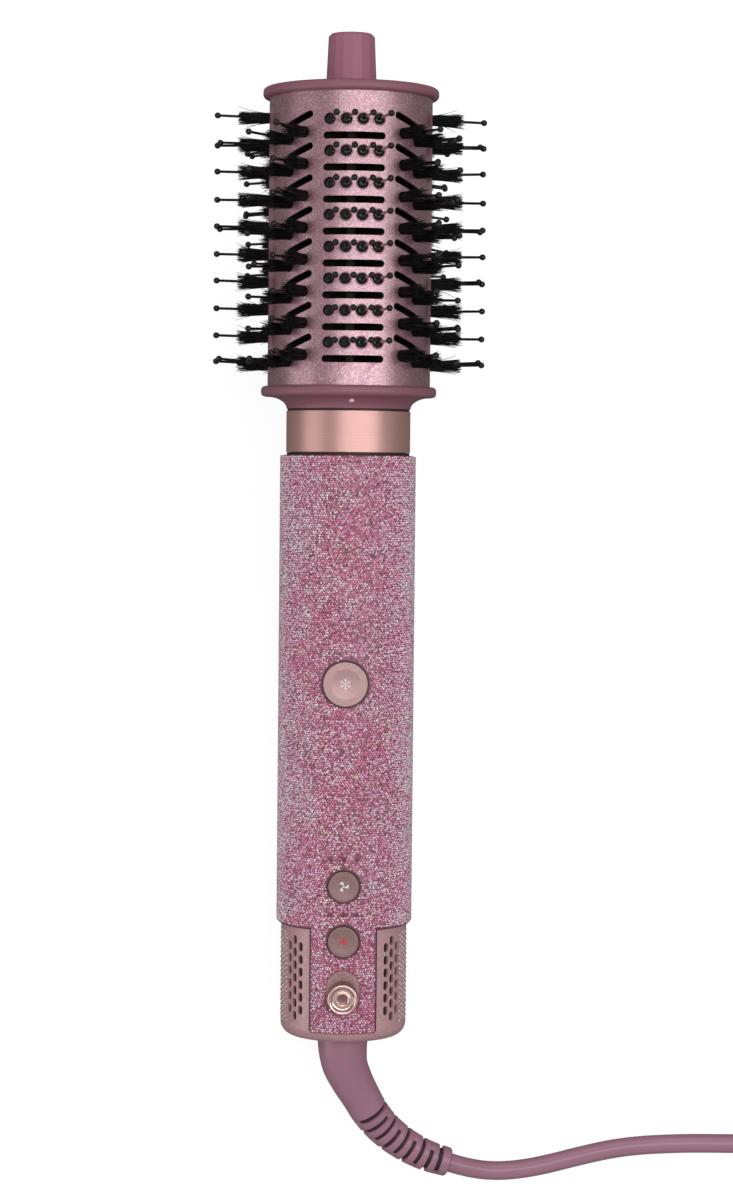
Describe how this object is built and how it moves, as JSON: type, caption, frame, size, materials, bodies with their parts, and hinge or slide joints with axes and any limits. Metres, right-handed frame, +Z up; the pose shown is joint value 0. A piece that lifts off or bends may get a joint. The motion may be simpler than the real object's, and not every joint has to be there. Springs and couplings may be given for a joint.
{
  "type": "hot air brush",
  "caption": "Round hot air brush with a slotted bristled barrel, a slim stone-covered handle, a slotted intake cage and a coiled mains lead with a moulded plug.",
  "frame": {"origin": "centre of the brush's bounding box, without its lead, at the table", "axes": "+Y from the tail to the tip, +Z up from the table, the buttons on the upper side"},
  "size_m": [0.2781, 0.3594, 0.0916],
  "materials": {
    "lead_rubber": "satin, dusty rose",
    "dark_plastic": "moulded, dark grey",
    "black_plastic": "moulded, black",
    "black_rubber": "matt",
    "rose_plastic": "satin, metallic rose",
    "rose_metal": "brushed and anodised rose gold",
    "knob_metal": "polished rose gold plate",
    "barrel_paint": "satin, speckled rose",
    "stone_base": "rose lacquer under faceted stones",
    "bristle": "black boar and nylon",
    "nylon": "black nylon",
    "copper": "bare",
    "steel": "machined",
    "plated_pin": "nickel plated",
    "mica": "mica sheet",
    "board": "glass epoxy board",
    "white_plastic": "moulded, white",
    "lens": "diffusing",
    "white_mark": "printed",
    "wire": "resistance wire"
  },
  "bodies": {
    "cord_set": {"swivel_collar": "dark_plastic", "slip_rings": "copper", "boot": "lead_rubber", "cord": "lead_rubber", "coil": "lead_rubber", "plug_lead": "lead_rubber", "cord_tie": "black_rubber", "plug_body": "lead_rubber", "plug_pins": "plated_pin"},
    "handle": {"intake_cage": "rose_plastic", "filter_mesh": "steel", "swivel_retainer": "dark_plastic", "retainer_screws": "steel", "contact_block": "dark_plastic", "rear_shell": "dark_plastic", "front_shell": "dark_plastic", "shell_screws": "steel", "crystal_sleeve": "stone_base", "button_bezels": "black_plastic", "led_lenses": "lens", "control_board": "board", "tact_switches": "black_plastic", "slide_switch": "steel", "fan_shroud": "dark_plastic", "fan_mounts": "black_rubber", "stator_vanes": "dark_plastic", "motor_can": "steel", "heater_tube": "mica", "heater_frame": "mica", "heater_coil": "wire", "thermal_cutout": "steel", "nose_socket": "dark_plastic", "nose_gasket": "black_rubber"},
    "rotor": {"motor_shaft": "steel", "armature": "copper", "impeller": "white_plastic"},
    "cool_shot": {"cool_button": "rose_plastic"},
    "fan_speed": {"fan_button": "rose_plastic"},
    "heat_level": {"heat_button": "rose_plastic"},
    "power": {"power_knob": "knob_metal"},
    "collar": {"lock_ring": "rose_metal"},
    "head": {"head_base": "rose_plastic", "head_gasket": "black_rubber", "lock_dot": "white_mark", "barrel": "barrel_paint", "head_frame": "dark_plastic", "pin_strips": "black_plastic", "front_pins": "nylon", "back_pins": "nylon", "tuft_carriers": "black_plastic", "front_left_tufts": "bristle", "front_right_tufts": "bristle", "back_left_tufts": "bristle", "back_right_tufts": "bristle", "side_strips": "barrel_paint", "left_side_tufts": "bristle", "right_side_tufts": "bristle", "end_cap": "rose_plastic", "cool_tip": "rose_plastic", "tip_screw": "steel"}
  },
  "joints": [
    {"name": "cord_swivel", "type": "hinge", "parent": "cord_set", "child": "handle", "pos_m": [0, -0.15496, 0.01919], "axis": [0, 0.9943, 0.1063], "continuous": true},
    {"name": "fan_spin", "type": "hinge", "parent": "handle", "child": "rotor", "pos_m": [0, -0.08536, 0.02663], "axis": [0, 0.9943, 0.1063], "continuous": true},
    {"name": "cool_shot_press", "type": "slide", "parent": "handle", "child": "cool_shot", "axis": [0, 0.1063, -0.9943], "range_m": [0, 0.0006], "stiffness_N_per_m": 3000},
    {"name": "fan_speed_press", "type": "slide", "parent": "handle", "child": "fan_speed", "axis": [0, 0.1063, -0.9943], "range_m": [0, 0.0006], "stiffness_N_per_m": 3000},
    {"name": "heat_level_press", "type": "slide", "parent": "handle", "child": "heat_level", "axis": [0, 0.1063, -0.9943], "range_m": [0, 0.0006], "stiffness_N_per_m": 3000},
    {"name": "power_slide", "type": "slide", "parent": "handle", "child": "power", "axis": [0, 0.9943, 0.1063], "range_m": [0, 0.003]},
    {"name": "collar_twist", "type": "hinge", "parent": "handle", "child": "collar", "pos_m": [0, 0.03396, 0.03939], "axis": [0, 0.9943, 0.1063], "range_deg": [0, 25]},
    {"name": "head_pull", "type": "slide", "parent": "collar", "child": "head", "axis": [0, 0.9943, 0.1063], "range_m": [0, 0.015]}
  ]
}
